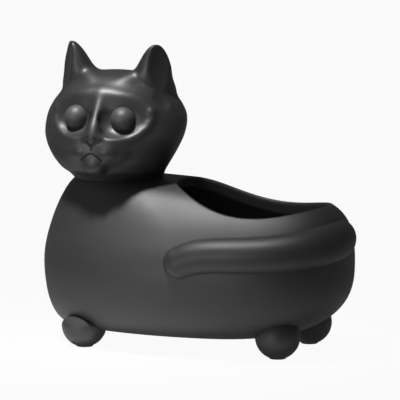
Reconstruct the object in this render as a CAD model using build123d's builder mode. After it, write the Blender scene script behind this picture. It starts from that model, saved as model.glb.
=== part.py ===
"""Cat-shaped planter: a hollow loaf-shaped bowl on four round feet, a head that looks out over one flank, and a tail
laid along that flank. The castings are bonded to the bowl, and a rubber plug closes its drain.

Millimetres, +Z up. The face looks along -Y, the chest end of the bowl is at -X and the rump at +X. The origin lies
on the ground under the middle of the planter's outline.
"""

import math
import os

from build123d import *

# Fits that several pieces share
BOND_GAP = 0.15  # glue room round a peg or a dowel
CUT_OVERRUN = 5.0  # how far a cutting tool reaches past the surface that it cuts

# Bowl, the hollow body casting
BODY_LENGTH = 225.0
BODY_WIDTH = 131.0
GROUND_CLEARANCE = 11.5
SHOULDER_HEIGHT = 117.0  # ground to the flat seat of the neck
WALL = 7.0
FLOOR = 8.0
MOUTH_WIDTH = 80.0
MOUTH_MARGIN = 17.5  # the mouth, behind the neck's seat and ahead of the rump's furthest point
MOUTH_DEPTH = 45.0  # the mouth's cut, down from the neck's seat
LIP_RADIUS = 2.2

# Form of the bowl above and below its widest level. A power of 2 is an ellipse, and a higher one is squarer.
WIDEST_HEIGHT = 60.0
RUMP_CROWN_POWER = 4.0
CHEST_CROWN_POWER = 1.5
FLANK_CROWN_POWER = 1.34
DRIFT_POWER = 3.8  # how late the outline's middle moves to the neck
RUMP_PLAN_SHARE = 0.72  # seen from above: 0.55 is an ellipse, and more is squarer
SHOULDER_PLAN_SHARE = 0.2  # the same behind the neck's seat
SHOULDER_POWER = 9  # how late the outline turns into the shoulder's
BELLY_POWER = 2.4
BELLY_CHEST_TUCK = 22.5  # the flat of the underside, behind the chest's furthest point
BELLY_RUMP_TUCK = 66.5
BELLY_FLANK_TUCK = 29.5
CROWN_STEPS = 10
BELLY_STEPS = 6

# Neck joint between bowl and head
NECK_INSET = 53.5  # the neck's axis, behind the chest's furthest point
NECK_LENGTH = 57.0  # the neck's seat, along the bowl
NECK_WIDTH = 54.0
DOWEL_DIAMETER = 24.0
DOWEL_IN_HEAD = 11.0
DOWEL_IN_BOWL = 13.0
DOWEL_CHAMFER = 1.5
BOSS_WALL = 7.0  # round the dowel, under the shoulder
BOSS_FLOOR = 5.0

# Head casting. Its places are measured sideways and forward from the neck's axis, and up from the neck's seat.
HEAD_WIDTH = 103.0  # cheek to cheek
HEAD_DEPTH = 80.0  # forehead to the back of the skull
HEAD_RISE = 75.0
MUZZLE_RADIUS = 13.0
MUZZLE_SPREAD = 8.6
MUZZLE_FORWARD = 42.0
MUZZLE_RISE = 25.3
CHIN_RADIUS = 8.5
CHIN_FORWARD = 42.5
CHIN_RISE = 14.6
NOSE_RADIUS = 5.5
NOSE_FORWARD = 49.0
NOSE_RISE = 32.5
BRIDGE_RADIUS = 5.0
BROW_FORWARD = 32.5  # the upper end of the nose's bridge
BROW_RISE = 62.0

# Level outlines of the head above the neck's seat: height, how far forward the outline's middle lies, half width and
# half depth, as shares of the head's rise, depth, width and depth
HEAD_SHARES = (
    (0.10, 0.110, 0.360, 0.410),
    (0.20, 0.138, 0.415, 0.450),
    (0.30, 0.131, 0.456, 0.475),
    (0.41, 0.100, 0.489, 0.494),
    (0.51, 0.050, 0.497, 0.497),
    (0.61, 0.018, 0.487, 0.494),
    (0.72, 0.015, 0.443, 0.475),
    (0.82, 0.035, 0.377, 0.425),
    (0.91, 0.048, 0.280, 0.325),
    (0.97, 0.050, 0.170, 0.195),
    (1.00, 0.050, 0.060, 0.065),
)

# Eyes and the bowls that they sit in
EYE_DIAMETER = 17.4
EYE_SPREAD = 17.2
EYE_FORWARD = 36.0
EYE_RISE = 45.4
SOCKET_RADIUS = 21.0
SOCKET_SPREAD = 19.5
SOCKET_FORWARD = 55.0
SOCKET_RISE = 45.0

# Ears, cast in one with the head
EAR_TIP_RADIUS = 4.2
EAR_TIP_SPREAD = 32.0
EAR_TIP_FORWARD = 6.0
EAR_TIP_RISE = 95.0
EAR_ROOT_SPREAD = 31.0
EAR_ROOT_BACK = 4.0
EAR_ROOT_RISE = 49.0
EAR_ROOT_WIDTH = 40.0
EAR_ROOT_DEPTH = 26.0
EAR_TURN = 30.0  # degrees that an ear faces outwards
EAR_SCOOP_RADIUS = 15.0
EAR_SCOOP_SPREAD = 45.0
EAR_SCOOP_FORWARD = 17.0
EAR_SCOOP_RISE = 76.0

# Tail, partly sunk in the bowl
TAIL_DIAMETER = 28.0  # at the rump
TAIL_TIP_DIAMETER = 24.6
TAIL_HEIGHT = 78.7  # the tail's plane at the middle of the bowl
TAIL_RISE = 1.7  # degrees that the tail's plane climbs towards the rump
TAIL_SLOPE = 4.9  # degrees that it falls towards the flank
TAIL_SINK = 4.3  # the tail's axis, inside the flank's widest line
TAIL_RUMP_SINK = 9.5  # the tail's axis, inside the rump's furthest point
TAIL_LENGTH_SHARE = 0.93  # of the way from the rump's furthest point to the middle of the flank
TAIL_ROOT_RADIUS = 14.0
TAIL_ROOT_TURN = 85.0  # degrees that the root dives into the rump
TAIL_PEG_DIAMETER = 8.0
TAIL_PEG_REACH = 0.5  # past the tail's axis, into the flank
TAIL_PEG_PLACE_SHARES = (0.6, 0.9)  # along the tail from the rump's furthest point

# Feet and their pads
FOOT_RADIUS = 15.8
FOOT_INSET_X = 40.5  # the middle of a foot, inside the bowl's furthest points
FOOT_INSET_Y = 32.5
FOOT_HEIGHT = 15.3  # ground to the middle of the foot
FOOT_PEG_DIAMETER = 9.0
FOOT_PEG_TOP = 21.0  # ground to the peg's end, in the bowl's floor
PAD_DIAMETER = 12.0
PAD_THICKNESS = 2.4
PAD_RECESS = 1.2
PAD_CHAMFER = 0.4

# Drain plug
DRAIN_DIAMETER = 14.0
DRAIN_LEAD = 11.0  # the drain, ahead of the middle of the mouth
PLUG_CLEARANCE = 0.06
PLUG_TAPER = 0.5  # less radius at the inner end
PLUG_RISE = 1.0  # above the bowl's floor
FLANGE_GAP = 0.1  # the flange's seal, under the bowl
FLANGE_DIAMETER = 24.0
FLANGE_THICKNESS = 2.0
GRIP_DIAMETER = 8.0
GRIP_WAIST = 5.0
GRIP_LENGTH = 2.8

# Places that follow from the sizes. The tail stands out at one flank and at the rump, which moves the bowl's middle
# off the middle of the outline.
tail_radius = TAIL_DIAMETER / 2
tip_radius = TAIL_TIP_DIAMETER / 2
body_x = (TAIL_RUMP_SINK - tail_radius) / 2
body_y = (tip_radius - TAIL_SINK) / 2
half_length = BODY_LENGTH / 2
half_width = BODY_WIDTH / 2
ground = Plane((body_x, body_y, 0))
neck_seat = ground.offset(SHOULDER_HEIGHT)
floor_top = GROUND_CLEARANCE + FLOOR
belly_chest = half_length - BELLY_CHEST_TUCK
belly_rump = half_length - BELLY_RUMP_TUCK
belly_flank = half_width - BELLY_FLANK_TUCK
neck_x = NECK_INSET - half_length
neck_front = NECK_LENGTH / 2 - neck_x
neck_rear = NECK_LENGTH / 2 + neck_x
mouth_front = neck_rear + MOUTH_MARGIN
mouth_rear = half_length - MOUTH_MARGIN
mouth_x = (mouth_front + mouth_rear) / 2
drain_x = mouth_x - DRAIN_LEAD
neck = Vector(body_x + neck_x, body_y, SHOULDER_HEIGHT)
sides = (-1, 1)


def rounded(share, power):
    """The other coordinate of a unit curve between an ellipse's quarter and a square's corner."""
    return (1 - share**power) ** (1 / power)


def rump_plan(middle, length, flank, share):
    """The control points of a quarter of a level outline, from the rump's furthest point to one flank."""
    return (
        (middle + length, 0),
        (middle + length, share * flank),
        (middle + share * length, flank),
        (middle, flank),
    )


def loaf(inset, low, high):
    """The bowl's form between two heights, drawn in by an inset, as one solid."""
    outlines = []
    for step in range(BELLY_STEPS, 0, -1):
        sink = math.sin(math.radians(90 * step / BELLY_STEPS)) ** (2 / BELLY_POWER)
        spread = rounded(sink, BELLY_POWER)
        outlines.append(
            (
                WIDEST_HEIGHT - sink * (WIDEST_HEIGHT - low),
                0,
                belly_chest + spread * BELLY_CHEST_TUCK,
                belly_rump + spread * BELLY_RUMP_TUCK,
                belly_flank + spread * BELLY_FLANK_TUCK,
                RUMP_PLAN_SHARE,
            )
        )
    for step in range(CROWN_STEPS + 1):
        rise = math.sin(math.radians(90 * step / CROWN_STEPS)) ** (2 / RUMP_CROWN_POWER)
        middle = neck_x * rise**DRIFT_POWER
        chest = neck_front + rounded(rise, CHEST_CROWN_POWER) * (half_length - neck_front)
        rump = neck_rear + rounded(rise, RUMP_CROWN_POWER) * (half_length - neck_rear)
        outlines.append(
            (
                WIDEST_HEIGHT + rise * (high - WIDEST_HEIGHT),
                middle,
                chest + middle,
                rump - middle,
                NECK_WIDTH / 2 + rounded(rise, FLANK_CROWN_POWER) * (half_width - NECK_WIDTH / 2),
                RUMP_PLAN_SHARE + rise**SHOULDER_POWER * (SHOULDER_PLAN_SHARE - RUMP_PLAN_SHARE),
            )
        )
    with BuildPart() as form:
        for height, middle, chest, rump, flank, share in outlines:
            with BuildSketch(ground.offset(height)):
                with BuildLine():
                    EllipticalCenterArc((middle, 0), chest - inset, flank - inset, 90, arc_size=180)
                    for side in sides:
                        Bezier(*rump_plan(middle, rump - inset, side * (flank - inset), share))
                make_face()
        loft()
    return form.part


def on_head(spread, forward, rise):
    """A place measured from the middle of the neck's seat."""
    return neck + Vector(spread, -forward, rise)


loaf_outside = loaf(0, GROUND_CLEARANCE, SHOULDER_HEIGHT)
loaf_inside = loaf(WALL, floor_top, SHOULDER_HEIGHT - WALL)

# Tail line: the root dives into the rump, then it goes round the rump and along the flank, in a tilted plane.
climb = math.tan(math.radians(TAIL_RISE))
fall = math.tan(math.radians(TAIL_SLOPE))
tail_plane = Plane((body_x, body_y, TAIL_HEIGHT), x_dir=(1, 0, climb), z_dir=(-climb, -fall, 1))
tail_reach = half_length - TAIL_RUMP_SINK
with BuildLine(tail_plane) as tail_line:
    root_middle = (tail_reach - TAIL_ROOT_RADIUS, 0)
    root_arc = CenterArc(root_middle, TAIL_ROOT_RADIUS, TAIL_ROOT_TURN, -TAIL_ROOT_TURN)
    whole_flank = Bezier(*rump_plan(0, tail_reach, TAIL_SINK - half_width, RUMP_PLAN_SHARE), mode=Mode.PRIVATE)
    flank_curve = whole_flank.trim(0, TAIL_LENGTH_SHARE)
    add(flank_curve)
tail_root = root_arc @ 0
tail_tip = flank_curve @ 1
peg_planes = [
    Plane(flank_curve @ place, z_dir=(flank_curve % place).cross(tail_plane.z_dir))
    for place in TAIL_PEG_PLACE_SHARES
]

with BuildPart() as tail:
    with BuildSketch(Plane(tail_root, z_dir=root_arc % 0)):
        Circle(tail_radius)
    with BuildSketch(Plane(root_arc @ 1, z_dir=root_arc % 1)):
        Circle(tail_radius)
    with BuildSketch(Plane(tail_tip, z_dir=flank_curve % 1)):
        Circle(tip_radius)
    sweep(path=tail_line.wire(), multisection=True)
    with Locations(tail_tip):
        Sphere(tip_radius)
    add(loaf_outside, mode=Mode.SUBTRACT)
    for plane in peg_planes:
        with BuildSketch(plane.offset(TAIL_PEG_REACH)):
            Circle(TAIL_PEG_DIAMETER / 2)
        extrude(amount=-tail_radius + TAIL_PEG_REACH)
tail.part.label = "tail"

# Feet: balls fitted to the bowl's underside, each with a peg above and a recess for its pad below
foot_names = ("front_left", "front_right", "rear_left", "rear_right")
foot_x = half_length - FOOT_INSET_X
foot_y = half_width - FOOT_INSET_Y
foot_places = [ground.from_local_coords((end * foot_x, side * foot_y, 0)) for end in sides for side in sides]
peg_base = GROUND_CLEARANCE / 2
foot_flat = PAD_THICKNESS - PAD_RECESS
feet = {}
pads = {}
for name, place in zip(foot_names, foot_places):
    with BuildPart() as foot:
        with Locations(place + Vector(0, 0, FOOT_HEIGHT)):
            Sphere(FOOT_RADIUS)
        split(bisect_by=Plane.XY.offset(foot_flat), keep=Keep.TOP)
        add(loaf_outside, mode=Mode.SUBTRACT)
        with BuildSketch(Plane(place).offset(peg_base)):
            Circle(FOOT_PEG_DIAMETER / 2)
        extrude(amount=FOOT_PEG_TOP - peg_base)
        with BuildSketch(Plane(place).offset(PAD_THICKNESS)):
            Circle(PAD_DIAMETER / 2 + BOND_GAP)
        extrude(amount=-PAD_RECESS, mode=Mode.SUBTRACT)
    foot.part.label = f"{name}_foot"
    feet[foot.part.label] = foot.part

    with BuildPart() as pad:
        with BuildSketch(Plane(place)):
            Circle(PAD_DIAMETER / 2)
        extrude(amount=PAD_THICKNESS)
        chamfer(pad.faces().sort_by(Axis.Z)[0].edges(), PAD_CHAMFER)
    pad.part.label = f"{name}_pad"
    pads[pad.part.label] = pad.part

# Bowl: the loaf, hollowed, with a mouth in its back, a boss under the neck, and seats for all that is joined to it
with BuildPart() as bowl:
    add(loaf_outside)
    add(loaf_inside, mode=Mode.SUBTRACT)
    with BuildSketch(neck_seat.offset(CUT_OVERRUN)):
        with Locations((mouth_x, 0)):
            Ellipse((mouth_rear - mouth_front) / 2, MOUTH_WIDTH / 2)
    extrude(amount=-CUT_OVERRUN - MOUTH_DEPTH, mode=Mode.SUBTRACT)
    mouth_edges = bowl.faces().filter_by(GeomType.EXTRUSION).edges()
    fillet(mouth_edges.filter_by(GeomType.LINE, reverse=True), LIP_RADIUS)
    with BuildSketch(neck_seat.offset(-WALL / 2)):
        with Locations((neck_x, 0)):
            Circle(DOWEL_DIAMETER / 2 + BOSS_WALL)
    extrude(amount=WALL / 2 - DOWEL_IN_BOWL - BOSS_FLOOR)
    with BuildSketch(neck_seat):
        with Locations((neck_x, 0)):
            Circle(DOWEL_DIAMETER / 2 + BOND_GAP)
    extrude(amount=-DOWEL_IN_BOWL, mode=Mode.SUBTRACT)
    for place in foot_places:
        with BuildSketch(Plane(place).offset(peg_base)):
            Circle(FOOT_PEG_DIAMETER / 2 + BOND_GAP)
        extrude(amount=FOOT_PEG_TOP - peg_base + BOND_GAP, mode=Mode.SUBTRACT)
    for plane in peg_planes:
        with BuildSketch(plane.offset(TAIL_PEG_REACH + BOND_GAP)):
            Circle(TAIL_PEG_DIAMETER / 2 + BOND_GAP)
        extrude(amount=-tail_radius, mode=Mode.SUBTRACT)
    with BuildSketch(ground.offset(GROUND_CLEARANCE - CUT_OVERRUN)):
        with Locations((drain_x, 0)):
            Circle(DRAIN_DIAMETER / 2)
    extrude(amount=FLOOR + 2 * CUT_OVERRUN, mode=Mode.SUBTRACT)
bowl.part.label = "bowl"

# Head: a broad round skull on a short neck, with a muzzle, a chin, a nose on its bridge, and two scooped ears
with BuildPart() as head:
    with BuildSketch(neck_seat):
        with Locations((neck_x, 0)):
            Ellipse(NECK_LENGTH / 2, NECK_WIDTH / 2)
    for rise, forward, width, depth in HEAD_SHARES:
        with BuildSketch(Plane(on_head(0, forward * HEAD_DEPTH, rise * HEAD_RISE))):
            Ellipse(width * HEAD_WIDTH, depth * HEAD_DEPTH)
    loft()
    for side in sides:
        with Locations(on_head(side * MUZZLE_SPREAD, MUZZLE_FORWARD, MUZZLE_RISE)):
            Sphere(MUZZLE_RADIUS)
    with Locations(on_head(0, CHIN_FORWARD, CHIN_RISE)):
        Sphere(CHIN_RADIUS)
    for side in sides:
        with Locations(on_head(side * SOCKET_SPREAD, SOCKET_FORWARD, SOCKET_RISE)):
            Sphere(SOCKET_RADIUS, mode=Mode.SUBTRACT)
    brow = on_head(0, BROW_FORWARD, BROW_RISE)
    nose = on_head(0, NOSE_FORWARD, NOSE_RISE)
    with BuildSketch(Plane(brow, z_dir=nose - brow)):
        Circle(BRIDGE_RADIUS)
    extrude(amount=(nose - brow).length)
    with Locations(brow):
        Sphere(BRIDGE_RADIUS)
    with Locations(nose):
        Sphere(NOSE_RADIUS)
    for side in sides:
        ear_tip = on_head(side * EAR_TIP_SPREAD, EAR_TIP_FORWARD, EAR_TIP_RISE - EAR_TIP_RADIUS)
        with BuildSketch(Plane(on_head(side * EAR_ROOT_SPREAD, -EAR_ROOT_BACK, EAR_ROOT_RISE))):
            Ellipse(EAR_ROOT_WIDTH / 2, EAR_ROOT_DEPTH / 2, rotation=side * EAR_TURN)
        with BuildSketch(Plane(ear_tip)):
            Circle(EAR_TIP_RADIUS)
        loft()
        with Locations(ear_tip):
            Sphere(EAR_TIP_RADIUS)
        with Locations(on_head(side * EAR_SCOOP_SPREAD, EAR_SCOOP_FORWARD, EAR_SCOOP_RISE)):
            Sphere(EAR_SCOOP_RADIUS, mode=Mode.SUBTRACT)
        with Locations(on_head(side * EYE_SPREAD, EYE_FORWARD, EYE_RISE)):
            Sphere(EYE_DIAMETER / 2, mode=Mode.SUBTRACT)
    with BuildSketch(neck_seat):
        with Locations((neck_x, 0)):
            Circle(DOWEL_DIAMETER / 2 + BOND_GAP)
    extrude(amount=DOWEL_IN_HEAD, mode=Mode.SUBTRACT)
head.part.label = "head"

# Eyes: plain balls bonded into their pockets
eyes = {}
for name, side in (("right_eye", -1), ("left_eye", 1)):
    with BuildPart() as eye:
        with Locations(on_head(side * EYE_SPREAD, EYE_FORWARD, EYE_RISE)):
            Sphere(EYE_DIAMETER / 2)
    eye.part.label = name
    eyes[name] = eye.part

# Neck dowel: it lines the head up on the bowl and carries it
with BuildPart() as neck_dowel:
    with BuildSketch(neck_seat.offset(-DOWEL_IN_BOWL)):
        with Locations((neck_x, 0)):
            Circle(DOWEL_DIAMETER / 2)
    extrude(amount=DOWEL_IN_BOWL + DOWEL_IN_HEAD)
    chamfer(neck_dowel.edges().filter_by(GeomType.CIRCLE), DOWEL_CHAMFER)
neck_dowel.part.label = "neck_dowel"

# Drain plug: a tapered stem in the drain, a flange under the bowl, and a grip to pull it out by
stem_radius = DRAIN_DIAMETER / 2 - PLUG_CLEARANCE
flange_top = -FLANGE_GAP
flange_base = flange_top - FLANGE_THICKNESS
grip_base = flange_base - GRIP_LENGTH
drain_seat = ground.from_local_coords((drain_x, 0, GROUND_CLEARANCE))
with BuildPart() as drain_plug:
    with BuildSketch(Plane(drain_seat, x_dir=(1, 0, 0), z_dir=(0, -1, 0))):
        with BuildLine():
            Polyline(
                (0, FLOOR + PLUG_RISE),
                (stem_radius - PLUG_TAPER, FLOOR + PLUG_RISE),
                (stem_radius, flange_top),
                (FLANGE_DIAMETER / 2, flange_top),
                (FLANGE_DIAMETER / 2, flange_base),
                (GRIP_WAIST / 2, flange_base),
                (GRIP_WAIST / 2, (flange_base + grip_base) / 2),
                (GRIP_DIAMETER / 2, (flange_base + grip_base) / 2),
                (GRIP_DIAMETER / 2, grip_base),
                (0, grip_base),
                close=True,
            )
        make_face()
    revolve(axis=Axis(drain_seat, (0, 0, 1)))
drain_plug.part.label = "drain_plug"

os.makedirs("parts", exist_ok=True)
castings = [bowl.part, head.part, tail.part, neck_dowel.part, drain_plug.part]
for piece in castings + list(eyes.values()) + list(feet.values()) + list(pads.values()):
    export_step(piece, f"parts/{piece.label}.step")
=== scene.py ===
"""A black cat-shaped planter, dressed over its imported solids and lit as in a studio."""

import math

import bpy
import numpy as np
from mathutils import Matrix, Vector


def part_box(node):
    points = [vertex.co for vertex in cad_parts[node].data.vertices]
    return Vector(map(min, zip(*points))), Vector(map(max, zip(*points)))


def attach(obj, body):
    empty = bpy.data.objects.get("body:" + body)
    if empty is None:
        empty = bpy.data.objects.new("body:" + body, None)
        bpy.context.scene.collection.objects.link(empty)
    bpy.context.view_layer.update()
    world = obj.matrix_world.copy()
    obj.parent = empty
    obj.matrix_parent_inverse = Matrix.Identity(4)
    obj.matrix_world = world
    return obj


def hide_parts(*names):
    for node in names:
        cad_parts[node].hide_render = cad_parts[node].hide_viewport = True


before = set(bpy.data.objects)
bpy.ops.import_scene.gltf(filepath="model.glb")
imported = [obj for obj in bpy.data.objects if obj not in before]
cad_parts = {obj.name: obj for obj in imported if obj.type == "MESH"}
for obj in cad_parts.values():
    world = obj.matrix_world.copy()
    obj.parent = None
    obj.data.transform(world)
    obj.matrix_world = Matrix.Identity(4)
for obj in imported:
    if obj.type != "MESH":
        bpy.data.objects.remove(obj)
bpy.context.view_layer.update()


# Bowl. The hollow body is one casting of stone-filled resin, dipped in a satin black paint that leaves a fine grain
# all over it. Its hollow is left dull, with painted shade on its walls and painted light on its undercuts.
class Sum:
    """A node's socket that takes part in Python sums, each of which adds its Math node."""

    def __init__(self, tree, socket):
        self.tree = tree
        self.socket = socket

    def math(self, operation, *values):
        node = self.tree.nodes.new("ShaderNodeMath")
        node.operation = operation
        for socket, value in zip(node.inputs, values):
            if isinstance(value, Sum):
                self.tree.links.new(value.socket, socket)
            else:
                socket.default_value = value
        return Sum(self.tree, node.outputs[0])

    def __add__(self, other):
        return self.math("ADD", self, other)

    def __sub__(self, other):
        return self.math("SUBTRACT", self, other)

    def __rsub__(self, other):
        return self.math("SUBTRACT", other, self)

    def __mul__(self, other):
        return self.math("MULTIPLY", self, other)

    __radd__ = __add__
    __rmul__ = __mul__


class Finish:
    """The nodes of one material, or of the room, with a method that adds any node to them."""

    def __init__(self, owner):
        self.owner = owner
        owner.use_nodes = True
        self.tree = owner.node_tree
        self.tree.nodes.clear()

    def node(self, kind, settings=None, inputs=None, output=0):
        node = self.tree.nodes.new("ShaderNode" + kind)
        for name, value in (settings or {}).items():
            setattr(node, name, value)
        for name, value in (inputs or {}).items():
            if isinstance(value, Sum):
                self.tree.links.new(value.socket, node.inputs[name])
            else:
                node.inputs[name].default_value = value
        if node.outputs:
            return Sum(self.tree, node.outputs[output])


def satin_black(name, shade, roughness, grain_height, hollow=None):
    """Satin black paint on cast resin: slightly cloudy in shade and gloss, with the casting's grain under it. Faces
    that look towards the middle of a hollow are left dull, and are painted darker as painted shade, or lighter as
    painted light where they face down."""
    finish = Finish(bpy.data.materials.new(name))
    place = finish.node("TexCoord", output="Object")

    def noise(scale, detail, raggedness):
        spots = {"Vector": place, "Scale": scale, "Detail": detail, "Roughness": raggedness}
        return finish.node("TexNoise", None, spots)

    def mix(share, first, second):
        return finish.node("Mix", {"data_type": "RGBA"}, {0: share, 6: first, 7: second}, output=2)

    clouds = noise(55.0, 5.0, 0.6)
    mottle = noise(420.0, 4.0, 0.65)
    grain = noise(1500.0, 3.0, 0.7)
    cloudy = clouds * 0.6 + mottle * 0.4
    thin_paint = (shade * 0.78, shade * 0.78, shade * 0.8, 1)
    thick_paint = (shade * 1.25, shade * 1.25, shade * 1.26, 1)
    colour = mix(cloudy, thin_paint, thick_paint)
    dull = (cloudy - 0.5) * 0.16 + (grain - 0.5) * 0.1 + roughness
    if hollow:
        outward = finish.node("VectorMath", {"operation": "SUBTRACT"}, {0: place, 1: hollow})
        facing = finish.node("TexCoord", output="Normal")
        away = finish.node("VectorMath", {"operation": "DOT_PRODUCT"}, {0: outward, 1: facing}, output="Value")
        inside = finish.node("MapRange", None, {"Value": away, "From Min": 0.004, "From Max": -0.010})
        tilt = finish.node("SeparateXYZ", None, {"Vector": facing}, output="Z")
        overhang = finish.node("MapRange", None, {"Value": tilt, "From Min": -0.1, "From Max": -0.4})
        # Painted shade and painted light: faces towards the hollow are painted darker, and those that face down
        # lighter.
        painted_shade_black = (0.012, 0.012, 0.012, 1)
        painted_light_grey = (0.15, 0.15, 0.15, 1)
        colour = mix(inside, colour, mix(overhang, painted_shade_black, painted_light_grey))
        dull = inside * 0.3 + dull
    relief = grain + mottle * 0.8
    bump = finish.node("Bump", None, {"Strength": 0.5, "Distance": grain_height, "Height": relief})
    paint = {"Base Color": colour, "Roughness": dull, "Normal": bump, "Specular IOR Level": 1.0}
    finish.node("OutputMaterial", None, {"Surface": finish.node("BsdfPrincipled", None, paint)})
    return finish.owner


def dress(node, material):
    """Puts one material on a solid of the frame."""
    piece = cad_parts[node]
    piece.data.materials.clear()
    piece.data.materials.append(material)


paint_shade = 0.03
body_roughness = 0.52
casting_grain = 0.00012
hollow_middle = (0.03, 0.004, 0.06)
body_black = satin_black("satin_black_body", paint_shade, body_roughness, casting_grain)
dress("bowl", satin_black("satin_black_bowl", paint_shade, body_roughness, casting_grain, hollow_middle))


# Feet. Four balls of the same resin, each pegged and bonded under the bowl and painted with it. The front pair is
# pressed flatter where the chest rests on it, and is left dull there, with painted shade on its tops.
def mount(piece, material, slot, *nodes):
    """Paints a finished casting and sets it on the planter in place of its plain solids."""
    piece.data.materials.clear()
    piece.data.materials.append(material)
    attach(piece, "planter")
    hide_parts(*nodes)


foot_radius = 0.0158
foot_middle = 0.0153
foot_sole = 0.0012
foot_press = 0.5
chest_height = 0.06
just_above = 0.0001
crease = math.radians(50)
for node in ("front_left_foot", "front_right_foot"):
    low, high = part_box(node)
    middle = ((low.x + high.x) / 2, (low.y + high.y) / 2, foot_middle)
    bpy.ops.object.select_all(action="DESELECT")
    bpy.ops.mesh.primitive_uv_sphere_add(segments=64, ring_count=40, radius=foot_radius, location=middle)
    foot = bpy.context.object
    foot.name = "pressed_" + node
    bpy.ops.object.transform_apply(location=True, rotation=True, scale=True)
    bpy.ops.object.mode_set(mode="EDIT")
    bpy.ops.mesh.select_mode(type="VERT")
    bpy.ops.mesh.select_all(action="DESELECT")
    bpy.ops.object.mode_set(mode="OBJECT")
    for corner in foot.data.vertices:
        corner.select = corner.co.z > foot_middle + just_above
    bpy.ops.object.mode_set(mode="EDIT")
    bpy.ops.transform.resize(value=(1, 1, foot_press), center_override=middle)
    bpy.ops.mesh.select_all(action="SELECT")
    bpy.ops.mesh.bisect(plane_co=(0, 0, foot_sole), plane_no=(0, 0, 1), use_fill=True, clear_inner=True)
    bpy.ops.object.mode_set(mode="OBJECT")
    bpy.ops.object.shade_smooth_by_angle(angle=crease)
    # The front feet's tops, which face the chest, take painted shade.
    chest = (middle[0], middle[1], chest_height)
    foot_black = satin_black("satin_black_" + node, paint_shade, body_roughness, casting_grain, chest)
    mount(foot, foot_black, "black_resin", node)
for node in ("rear_left_foot", "rear_right_foot"):
    dress(node, body_black)


# Tail. One thick round casting that swells out of the rump, lies along the flank and lets its soft tip hang. It is
# cut to the bowl's outside and bonded there along its whole length.
def take(piece):
    """Makes a piece the only one that the next tool works on."""
    bpy.ops.object.select_all(action="DESELECT")
    piece.select_set(True)
    bpy.context.view_layer.objects.active = piece


def ball(place, radii, turn=0.0, lean=0.0):
    """An egg-shaped lump of clay, leant over and then turned about its upright axis."""
    bpy.ops.object.select_all(action="DESELECT")
    bpy.ops.mesh.primitive_uv_sphere_add(segments=64, ring_count=32, radius=1, location=place)
    lump = bpy.context.object
    lump.scale = radii
    lump.rotation_euler = (lean, 0, turn)
    bpy.ops.object.transform_apply(location=True, rotation=True, scale=True)
    return lump


def tube(line, thickness):
    """A round roll of clay along a smooth line of five or more (x, y, z, radius), with its ends closed."""
    bpy.ops.object.select_all(action="DESELECT")
    bpy.ops.curve.primitive_nurbs_path_add()
    clay = bpy.context.object
    spline = clay.data.splines[0]
    spline.points.add(len(line) - len(spline.points))
    for point, (x, y, z, radius) in zip(spline.points, line):
        point.co = (x, y, z, 1)
        point.radius = radius / thickness
    spline.order_u = 4
    spline.use_endpoint_u = True
    spline.resolution_u = 12
    clay.data.bevel_depth = thickness
    clay.data.bevel_resolution = 10
    clay.data.use_fill_caps = True
    bpy.ops.object.convert(target="MESH")
    return bpy.context.object


def soften(clay, rounds):
    """Rubs the clay that is in hand over with a wet thumb."""
    thumb = clay.modifiers.new("thumb", "SMOOTH")
    thumb.factor = 0.5
    thumb.iterations = rounds
    bpy.ops.object.modifier_apply(modifier="thumb")


def fuse(name, lumps, grain, rounds):
    """Presses lumps of clay into one closed skin and smooths it over."""
    bpy.ops.object.select_all(action="DESELECT")
    for lump in lumps:
        lump.select_set(True)
    bpy.context.view_layer.objects.active = lumps[0]
    if len(lumps) > 1:
        bpy.ops.object.join()
    clay = bpy.context.object
    clay.name = name
    bpy.ops.object.transform_apply(location=True, rotation=True, scale=True)
    skin = clay.modifiers.new("skin", "REMESH")
    skin.mode = "VOXEL"
    skin.voxel_size = grain
    bpy.ops.object.modifier_apply(modifier="skin")
    soften(clay, rounds)
    bpy.ops.object.shade_smooth()
    return clay


def carve(clay, *tools):
    """Cuts the tools' forms out of the clay."""
    for tool in tools:
        take(clay)
        knife = clay.modifiers.new("knife", "BOOLEAN")
        knife.operation = "DIFFERENCE"
        knife.object = tool
        knife.solver = "EXACT"
        bpy.ops.object.modifier_apply(modifier="knife")
        bpy.data.objects.remove(tool)


def copy_of(node):
    """A whole skin copied from a solid of the frame, whose own skin is loose triangles."""
    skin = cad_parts[node].copy()
    skin.data = skin.data.copy()
    bpy.context.scene.collection.objects.link(skin)
    take(skin)
    bpy.ops.object.mode_set(mode="EDIT")
    bpy.ops.mesh.select_all(action="SELECT")
    bpy.ops.mesh.remove_doubles(threshold=0.000001)
    bpy.ops.object.mode_set(mode="OBJECT")
    return skin


tail_line = (
    (0.0080, -0.0570, 0.0680, 0.0118),
    (0.0130, -0.0572, 0.0706, 0.0122),
    (0.0226, -0.0574, 0.0738, 0.0124),
    (0.0447, -0.0566, 0.0750, 0.0126),
    (0.0656, -0.0524, 0.0756, 0.0130),
    (0.0860, -0.0425, 0.0772, 0.0136),
    (0.0995, -0.0255, 0.0792, 0.0141),
    (0.1035, -0.0060, 0.0808, 0.0143),
    (0.1015, 0.0110, 0.0816, 0.0138),
    (0.0880, 0.0200, 0.0816, 0.0125),
)
tail_thickness = 0.0125
tip_radius = 0.0121
tail_skin = 0.0010
tail_rubs = 14
tail_tip = ball(tail_line[0][:3], (tip_radius, tip_radius, tip_radius))
tail = fuse("laid_tail", [tube(tail_line, tail_thickness), tail_tip], tail_skin, tail_rubs)
carve(tail, copy_of("bowl"))
bpy.ops.object.mode_set(mode="EDIT")
bpy.ops.mesh.select_all(action="SELECT")
bpy.ops.mesh.separate(type="LOOSE")
bpy.ops.object.mode_set(mode="OBJECT")
scraps = sorted(bpy.context.selected_objects, key=lambda scrap: len(scrap.data.vertices))
tail = scraps.pop()
for scrap in scraps:
    bpy.data.objects.remove(scrap)
tail.name = "laid_tail"
take(tail)
bpy.ops.object.shade_smooth_by_angle(angle=crease)
mount(tail, body_black, "black_resin", "tail")


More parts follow.
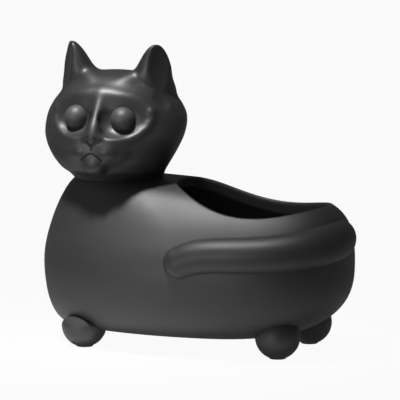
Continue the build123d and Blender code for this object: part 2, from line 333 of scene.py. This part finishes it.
# Head. A solid casting that sits on the bowl's neck on a hidden dowel of raw resin. Its features are modelled in clay,
# and it is rubbed down smoother than the body before it is painted.
dowel_shade = 0.3
dowel_roughness = 0.7
dowel_grain = 0.0001
dress("neck_dowel", satin_black("raw_resin_dowel", dowel_shade, dowel_roughness, dowel_grain))
dowel_low, dowel_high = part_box("neck_dowel")
neck = Vector(((dowel_low.x + dowel_high.x) / 2, (dowel_low.y + dowel_high.y) / 2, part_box("head")[0].z))


def on_head(spread, forward, rise):
    """A place in millimetres: sideways and forward from the neck's axis, and up from the neck's seat."""
    return neck + Vector((spread, -forward, rise)) / 1000


def stack(levels, turn=0.0):
    """A closed lump through level ovals: middle's spread, middle's forward, rise, half width and half depth."""
    bpy.ops.object.select_all(action="DESELECT")
    hoops = []
    for spread, forward, rise, width, depth in levels:
        bpy.ops.mesh.primitive_circle_add(vertices=56, radius=1, location=on_head(spread, forward, rise))
        hoop = bpy.context.object
        hoop.scale = (width / 1000, depth / 1000, 1)
        hoop.rotation_euler = (0, 0, turn)
        hoops.append(hoop)
    for hoop in hoops:
        hoop.select_set(True)
    bpy.ops.object.transform_apply(location=True, rotation=True, scale=True)
    bpy.ops.object.join()
    lump = bpy.context.object
    bpy.ops.object.mode_set(mode="EDIT")
    bpy.ops.mesh.select_all(action="SELECT")
    bpy.ops.mesh.bridge_edge_loops()
    bpy.ops.mesh.select_all(action="DESELECT")
    bpy.ops.mesh.select_non_manifold()
    bpy.ops.mesh.edge_face_add()
    bpy.ops.mesh.select_all(action="SELECT")
    bpy.ops.mesh.normals_make_consistent(inside=False)
    bpy.ops.object.mode_set(mode="OBJECT")
    return lump


def ridge(line, thickness, side=1):
    """A roll of clay along a line of (spread, forward, rise, radius) in millimetres, on one side of the head."""
    places = [(*on_head(side * spread, forward, rise), radius / 1000) for spread, forward, rise, radius in line]
    return tube(places, thickness / 1000)


skull_levels = (
    (0, 0, -9, 22, 20),
    (0, 0, -4, 28, 25),
    (0, 0, 0, 32.5, 29),
    (0, 3, 3.5, 34, 30),
    (0, 8.8, 7.5, 37.5, 32.8),
    (0, 11.0, 15, 42.7, 36),
    (0, 10.5, 22.5, 47, 38),
    (0, 8, 30.8, 50.4, 39.5),
    (0, 4, 38.3, 51.2, 39.8),
    (0, 1.4, 45.8, 50.2, 39.5),
    (0, 1.2, 54, 45.6, 38),
    (0, 2.8, 61.5, 38.8, 34),
    (0, 3.6, 66.5, 33.0, 28.4),
    (0, 3.6, 70.5, 28.0, 23.4),
    (0, 3.4, 73.2, 21.5, 18.2),
    (0, 3.2, 74.6, 14.0, 12.0),
    (0, 3.0, 75.2, 6.0, 6.0),
)
ear_levels = (
    (23.8, -2.2, 54, 19.8, 16.0),
    (23.8, -0.2, 64, 18.7, 17.3),
    (24.3, 1.9, 70, 16.5, 15.6),
    (26.4, 3.5, 74, 15.0, 12.8),
    (28.4, 5.1, 78, 13.6, 10.8),
    (29.5, 6.1, 84, 11.4, 8.6),
    (30.3, 7.2, 89, 9.0, 6.6),
    (31.2, 8.5, 92.8, 6.6, 4.8),
    (32.0, 9.6, 96.0, 3.4, 2.8),
)
ear_turn = math.radians(52)
crest_line = (
    (25, 7.0, 77, 5),
    (21, 8.8, 71.5, 8),
    (15, 13.5, 66.6, 10.2),
    (11, 17.2, 63.8, 11.2),
    (5.5, 22, 60, 11.2),
    (0, 24.5, 57.4, 10),
)
crest_thickness = 10
bridge_line = (
    (0, 27.0, 65.5, 4.6),
    (0, 33.4, 59.5, 5.2),
    (0, 38.4, 52, 5.2),
    (0, 43.9, 44, 5.2),
    (0, 49.8, 36.2, 5.6),
    (0, 50.2, 31, 6.0),
)
bridge_thickness = 5.5
clay_skin = 0.0009
clay_rubs = 46
lumps = [stack(skull_levels)]
for side in (-1, 1):
    ear = [(side * spread, forward, rise, width, depth) for spread, forward, rise, width, depth in ear_levels]
    lumps.append(stack(ear, side * ear_turn))
    lumps.append(ridge(crest_line, crest_thickness, side))
    lumps.append(ball(on_head(side * 8.6, 43.0, 24.2), (0.0115, 0.0115, 0.0090)))
lumps.append(ball(on_head(0, 38.0, 24.5), (0.0270, 0.0150, 0.0145)))
lumps.append(ball(on_head(0, 44.6, 15.6), (0.0098, 0.0098, 0.0092)))
lumps.append(ball(on_head(0, 43.5, 20.5), (0.0110, 0.0100, 0.0080)))
lumps.append(ridge(bridge_line, bridge_thickness))
head = fuse("modelled_head", lumps, clay_skin, clay_rubs)

# The sockets and the ears' cups are scooped out of the fused clay. Each socket is an almond with a shallower lobe
# beside the nose.
almond_radii = (0.0192, 0.0082, 0.0148)
almond_turn = math.radians(22)
almond_lean = math.radians(-12)
lobe_radii = (0.0126, 0.0070, 0.0120)
lobe_lean = math.radians(-10)
cup_radii = (0.0165, 0.0090, 0.0265)
cup_lean = math.radians(-10.5)
scooped_skin = 0.0007
scooped_rubs = 22
scoops = []
for side in (-1, 1):
    scoops.append(ball(on_head(side * 21.0, 43.5, 48.0), almond_radii, side * almond_turn, almond_lean))
    scoops.append(ball(on_head(side * 14.8, 44.6, 47.0), lobe_radii, 0.0, lobe_lean))
for side in (-1, 1):
    scoops.append(ball(on_head(side * 40.9, 14.9, 77), cup_radii, side * ear_turn, cup_lean))
carve(head, *scoops)
head = fuse("modelled_head", [head], scooped_skin, scooped_rubs)


def touch(clay, spread, rise):
    """The place on the face's skin that is met from the front, in millimetres."""
    bpy.context.view_layer.update()
    place = clay.ray_cast(on_head(spread, 100, rise), Vector((0, 1, 0)))[1]
    return (spread, (neck.y - place.y) * 1000, rise)


def press(clay, line, reach, push):
    """Raises both sides of the face along a line of (spread, rise) by push mm, fading out over reach mm."""
    spots = []
    for side in (-1, 1):
        for (s0, h0), (s1, h1) in zip(line, line[1:]):
            steps = math.ceil(math.dist((s0, h0), (s1, h1)) / 0.5)
            for step in range(steps + 1):
                t = step / steps
                spots.append(on_head(*touch(clay, side * (s0 + t * (s1 - s0)), h0 + t * (h1 - h0))))
    places = np.empty(len(clay.data.vertices) * 3, np.float32)
    clay.data.vertices.foreach_get("co", places)
    places = places.reshape(-1, 3)
    nearest = np.full(len(places), 1.0)
    for spot in spots:
        nearest = np.minimum(nearest, np.linalg.norm(places - np.array(spot), axis=1))
    weights = np.exp(-((nearest * 1000 / reach) ** 2))
    area = clay.vertex_groups.new(name="pressed")
    for index in np.nonzero(weights > 0.01)[0]:
        area.add([int(index)], float(weights[index]), "REPLACE")
    take(clay)
    swell = clay.modifiers.new("swell", "DISPLACE")
    swell.strength = push / 1000
    swell.mid_level = 0
    swell.vertex_group = area.name
    bpy.ops.object.modifier_apply(modifier="swell")
    clay.vertex_groups.clear()


brow = ((0.0, 64.5), (8, 63.8), (16, 62.2), (23, 60.0), (29.0, 57.0), (34.0, 52.5))
lid = ((35.6, 50.0), (36.2, 45.5), (34.2, 40.0), (29.6, 35.4), (23.5, 32.4), (17.0, 31.6), (11.0, 31.8), (6.5, 33.4))
brow_reach, brow_push = 5.0, 1.0
lid_reach, lid_push = 3.2, 1.8
last_rubs = 10
press(head, brow, brow_reach, brow_push)
press(head, lid, lid_reach, lid_push)
soften(head, last_rubs)


def groove(clay, line, thickness, sink):
    """A thin roll along a line of (spread, rise) on the face, sunk by some millimetres, to engrave it with."""
    places = []
    for spread, rise in line:
        spread, forward, rise = touch(clay, spread, rise)
        places.append((*on_head(spread, forward - sink, rise), thickness / 1000))
    return tube(places, thickness / 1000)


mouth_line = ((-7.8, 18.0), (-4.0, 21.2), (0.0, 24.4), (4.0, 21.2), (7.8, 18.0))
lip_line = ((0, 24.4), (0, 25.3), (0, 26.2), (0, 27.1), (0, 28.0))
nose_side = ((0.0, 27.0), (1.1, 28.8), (2.2, 30.8), (3.4, 32.8), (4.7, 34.2))
nose_top = ((-4.7, 34.2), (-2.4, 34.7), (0, 34.8), (2.4, 34.7), (4.7, 34.2))
whisker_pits = ((15.0, 27.4), (17.6, 28.6), (16.4, 25.2), (19.4, 26.4))
pit_radius = 0.0005
engraving_skin = 0.0002
grooves = [groove(head, mouth_line, 0.8, 0.2), groove(head, lip_line, 0.7, 0.15)]
for side in (-1, 1):
    grooves.append(groove(head, [(side * spread, rise) for spread, rise in nose_side], 0.65, 0.15))
grooves.append(groove(head, nose_top, 0.45, 0.15))
for side in (-1, 1):
    for spread, rise in whisker_pits:
        grooves.append(ball(on_head(*touch(head, side * spread, rise)), (pit_radius, pit_radius, pit_radius)))
carve(head, fuse("engraving", grooves, engraving_skin, 1))
bpy.ops.object.shade_smooth_by_angle(angle=crease)

head_roughness = 0.46
head_grain = 0.00005
mount(head, satin_black("satin_black_head", paint_shade, head_roughness, head_grain), "black_resin", "head")


# Eyes. Two balls of the same resin, cast apart and rubbed smoother than the head. They are bonded into its sockets
# and painted a little lighter, as painted light for their broad soft highlights.
# The eyes' lighter black is painted light.
eye_shade_with_painted_light = 0.075
eye_roughness = 0.55
eye_grain = 0.00002
eye_black = satin_black("polished_black_eyes_painted_light", eye_shade_with_painted_light, eye_roughness, eye_grain)
dress("left_eye", eye_black)
dress("right_eye", eye_black)


# Drain plug and pads. Moulded black rubber. The plug is pushed into the drain from below and pulled out by hand, and a
# pad is let into the sole of each foot.
rubber_roughness = 0.7
rubber_grain = 0.0001
rubber = satin_black("black_rubber", paint_shade, rubber_roughness, rubber_grain)
for node in ("drain_plug", "front_left_pad", "front_right_pad", "rear_left_pad", "rear_right_pad"):
    dress(node, rubber)


# Studio. A white table in a white room. The key lamp hangs high and to the left, where the head shades the chest and
# the light fades towards the rump, and a weaker lamp in front lightens the face.
def in_sight(finish, plain, mirrored):
    """The share of a white surface's own brightness that a ray takes: straight or through glass, and mirrored."""
    seen = finish.node("LightPath", output="Is Camera Ray")
    through = finish.node("LightPath", output="Is Transmission Ray")
    return seen * plain + through * plain + finish.node("LightPath", output="Is Glossy Ray") * mirrored


white = (1, 1, 1, 1)
table_white = (0.7, 0.7, 0.7, 1)
table_size = 14.0
room_light = 0.04
bpy.ops.object.select_all(action="DESELECT")
bpy.ops.mesh.primitive_plane_add(size=table_size, location=(0, 0, 0))
floor = bpy.context.object
floor.name = "studio_floor"
paper = Finish(bpy.data.materials.new("white_paper"))
matt = paper.node("BsdfDiffuse", None, {"Color": table_white})
bright = paper.node("Emission", None, {"Color": white, "Strength": 1.0})
table = paper.node("MixShader", None, {0: in_sight(paper, 0.95, 0.15), 1: matt, 2: bright})
paper.node("OutputMaterial", None, {"Surface": table})
floor.data.materials.append(paper.owner)

bpy.context.scene.world = bpy.data.worlds.new("studio")
wall = Finish(bpy.context.scene.world)
dim = wall.node("Background", None, {"Color": white, "Strength": room_light})
bright = wall.node("Background", None, {"Color": white, "Strength": 1.0})
room = wall.node("MixShader", None, {0: in_sight(wall, 1.0, 0.05), 1: dim, 2: bright})
wall.node("OutputWorld", None, {"Surface": room})


def lamp(name, place, aim, power, cone, radius):
    """A soft round studio lamp that points at a place on the planter and fades out to the rim of its cone."""
    light = bpy.data.lights.new(name, "SPOT")
    light.energy = power
    light.spot_size = math.radians(cone)
    light.spot_blend = 1.0
    light.shadow_soft_size = radius
    stand = bpy.data.objects.new(name, light)
    bpy.context.scene.collection.objects.link(stand)
    stand.location = place
    stand.rotation_euler = (Vector(aim) - Vector(place)).to_track_quat("-Z", "Y").to_euler()


lamp("key_lamp", (-0.29, -0.42, 1.59), (-0.075, -0.06, 0.1), 155, 13.8, 0.13)
lamp("front_lamp", (-0.5, -1.8, 0.25), (-0.07, -0.07, 0.16), 42, 17, 0.28)


# Camera. It stands far back, a little above the planter and to the right of its face, with a long lens that takes in
# 28 cm across the planter.
azimuth = math.radians(20.5)
elevation = math.radians(8.7)
distance = 4.5
view_width = 0.28
sensor_width = 36
planter_middle = Vector((0, 0, 0.105))
level = math.cos(elevation)
toward = Vector((math.sin(azimuth) * level, -math.cos(azimuth) * level, math.sin(elevation)))
right = Vector((math.cos(azimuth), math.sin(azimuth), 0))
up = toward.cross(right)
aim = planter_middle + right * 0.00126 - up * 0.0016
lens = bpy.data.cameras.new("camera")
lens.sensor_width = sensor_width
lens.lens = sensor_width * distance / view_width
lens.clip_end = 50
camera = bpy.data.objects.new("camera", lens)
bpy.context.scene.collection.objects.link(camera)
camera.location = aim + toward * distance
camera.rotation_euler = (-toward).to_track_quat("-Z", "Y").to_euler()
bpy.context.scene.camera = camera
bpy.context.scene.view_settings.view_transform = "Standard"
